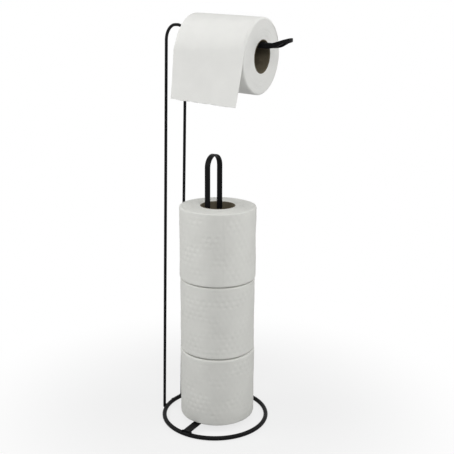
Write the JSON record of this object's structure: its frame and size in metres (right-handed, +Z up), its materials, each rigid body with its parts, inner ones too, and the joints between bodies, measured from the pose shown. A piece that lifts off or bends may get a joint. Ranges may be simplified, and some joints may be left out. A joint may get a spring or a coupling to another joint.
{
  "type": "toilet paper holder",
  "caption": "Free-standing toilet paper holder: wire base ring, leaning wire frame, level roll arm with an upturned tip and a spindle holding spare rolls.",
  "frame": {"origin": "centre of the base ring, on the floor", "axes": "+Z up, +X along the roll arm towards its tip, the hanging sheet on the -Y side"},
  "size_m": [0.1817, 0.15, 0.554],
  "materials": {
    "black_powder_coat": "satin black powder coat on steel wire and strip",
    "coated_weld": "weld beads under the same black powder coat",
    "tissue_paper": "soft matt tissue, very finely crinkled",
    "embossed_paper": "soft matt tissue with faint embossing",
    "grey_cardboard": "unbleached grey-brown core board with a spiral seam"
  },
  "bodies": {
    "stand": {"base_ring": "black_powder_coat", "ring_seam_weld": "coated_weld", "cross_bar": "black_powder_coat", "cross_bar_welds": "coated_weld", "wire_frame": "black_powder_coat", "frame_foot_welds": "coated_weld", "arm_strap": "black_powder_coat", "arm_strap_weld": "coated_weld", "roll_arm": "black_powder_coat", "roll_arm_welds": "coated_weld", "reserve_spindle": "black_powder_coat", "spindle_welds": "coated_weld"},
    "use_roll": {"use_roll_paper": "tissue_paper", "use_roll_core": "grey_cardboard"},
    "hanging_sheet": {"hanging_sheet": "tissue_paper"},
    "spare_roll_bottom": {"spare_roll_bottom_paper": "embossed_paper", "spare_roll_bottom_core": "grey_cardboard"},
    "spare_roll_middle": {"spare_roll_middle_paper": "embossed_paper", "spare_roll_middle_core": "grey_cardboard"},
    "spare_roll_top": {"spare_roll_top_paper": "embossed_paper", "spare_roll_top_core": "grey_cardboard"}
  },
  "joints": [
    {"name": "use_roll_spin", "type": "hinge", "parent": "stand", "child": "use_roll", "pos_m": [0.01517, 0.003, 0.50437], "axis": [0.9986, 0, -0.0532], "continuous": true},
    {"name": "sheet_swing", "type": "hinge", "parent": "stand", "child": "hanging_sheet", "pos_m": [0.01517, -0.04435, 0.50437], "axis": [-0.9986, 0, 0.0532], "range_deg": [0, 40]},
    {"name": "spare_bottom_turn", "type": "hinge", "parent": "stand", "child": "spare_roll_bottom", "pos_m": [0.002, 0.0024, 0.055], "axis": [0, 0, 1], "continuous": true},
    {"name": "spare_middle_turn", "type": "hinge", "parent": "stand", "child": "spare_roll_middle", "pos_m": [0.002, 0.0024, 0.155], "axis": [0, 0, 1], "continuous": true},
    {"name": "spare_top_lift", "type": "slide", "parent": "stand", "child": "spare_roll_top", "axis": [0, 0, 1], "range_m": [0, 0.125]}
  ]
}
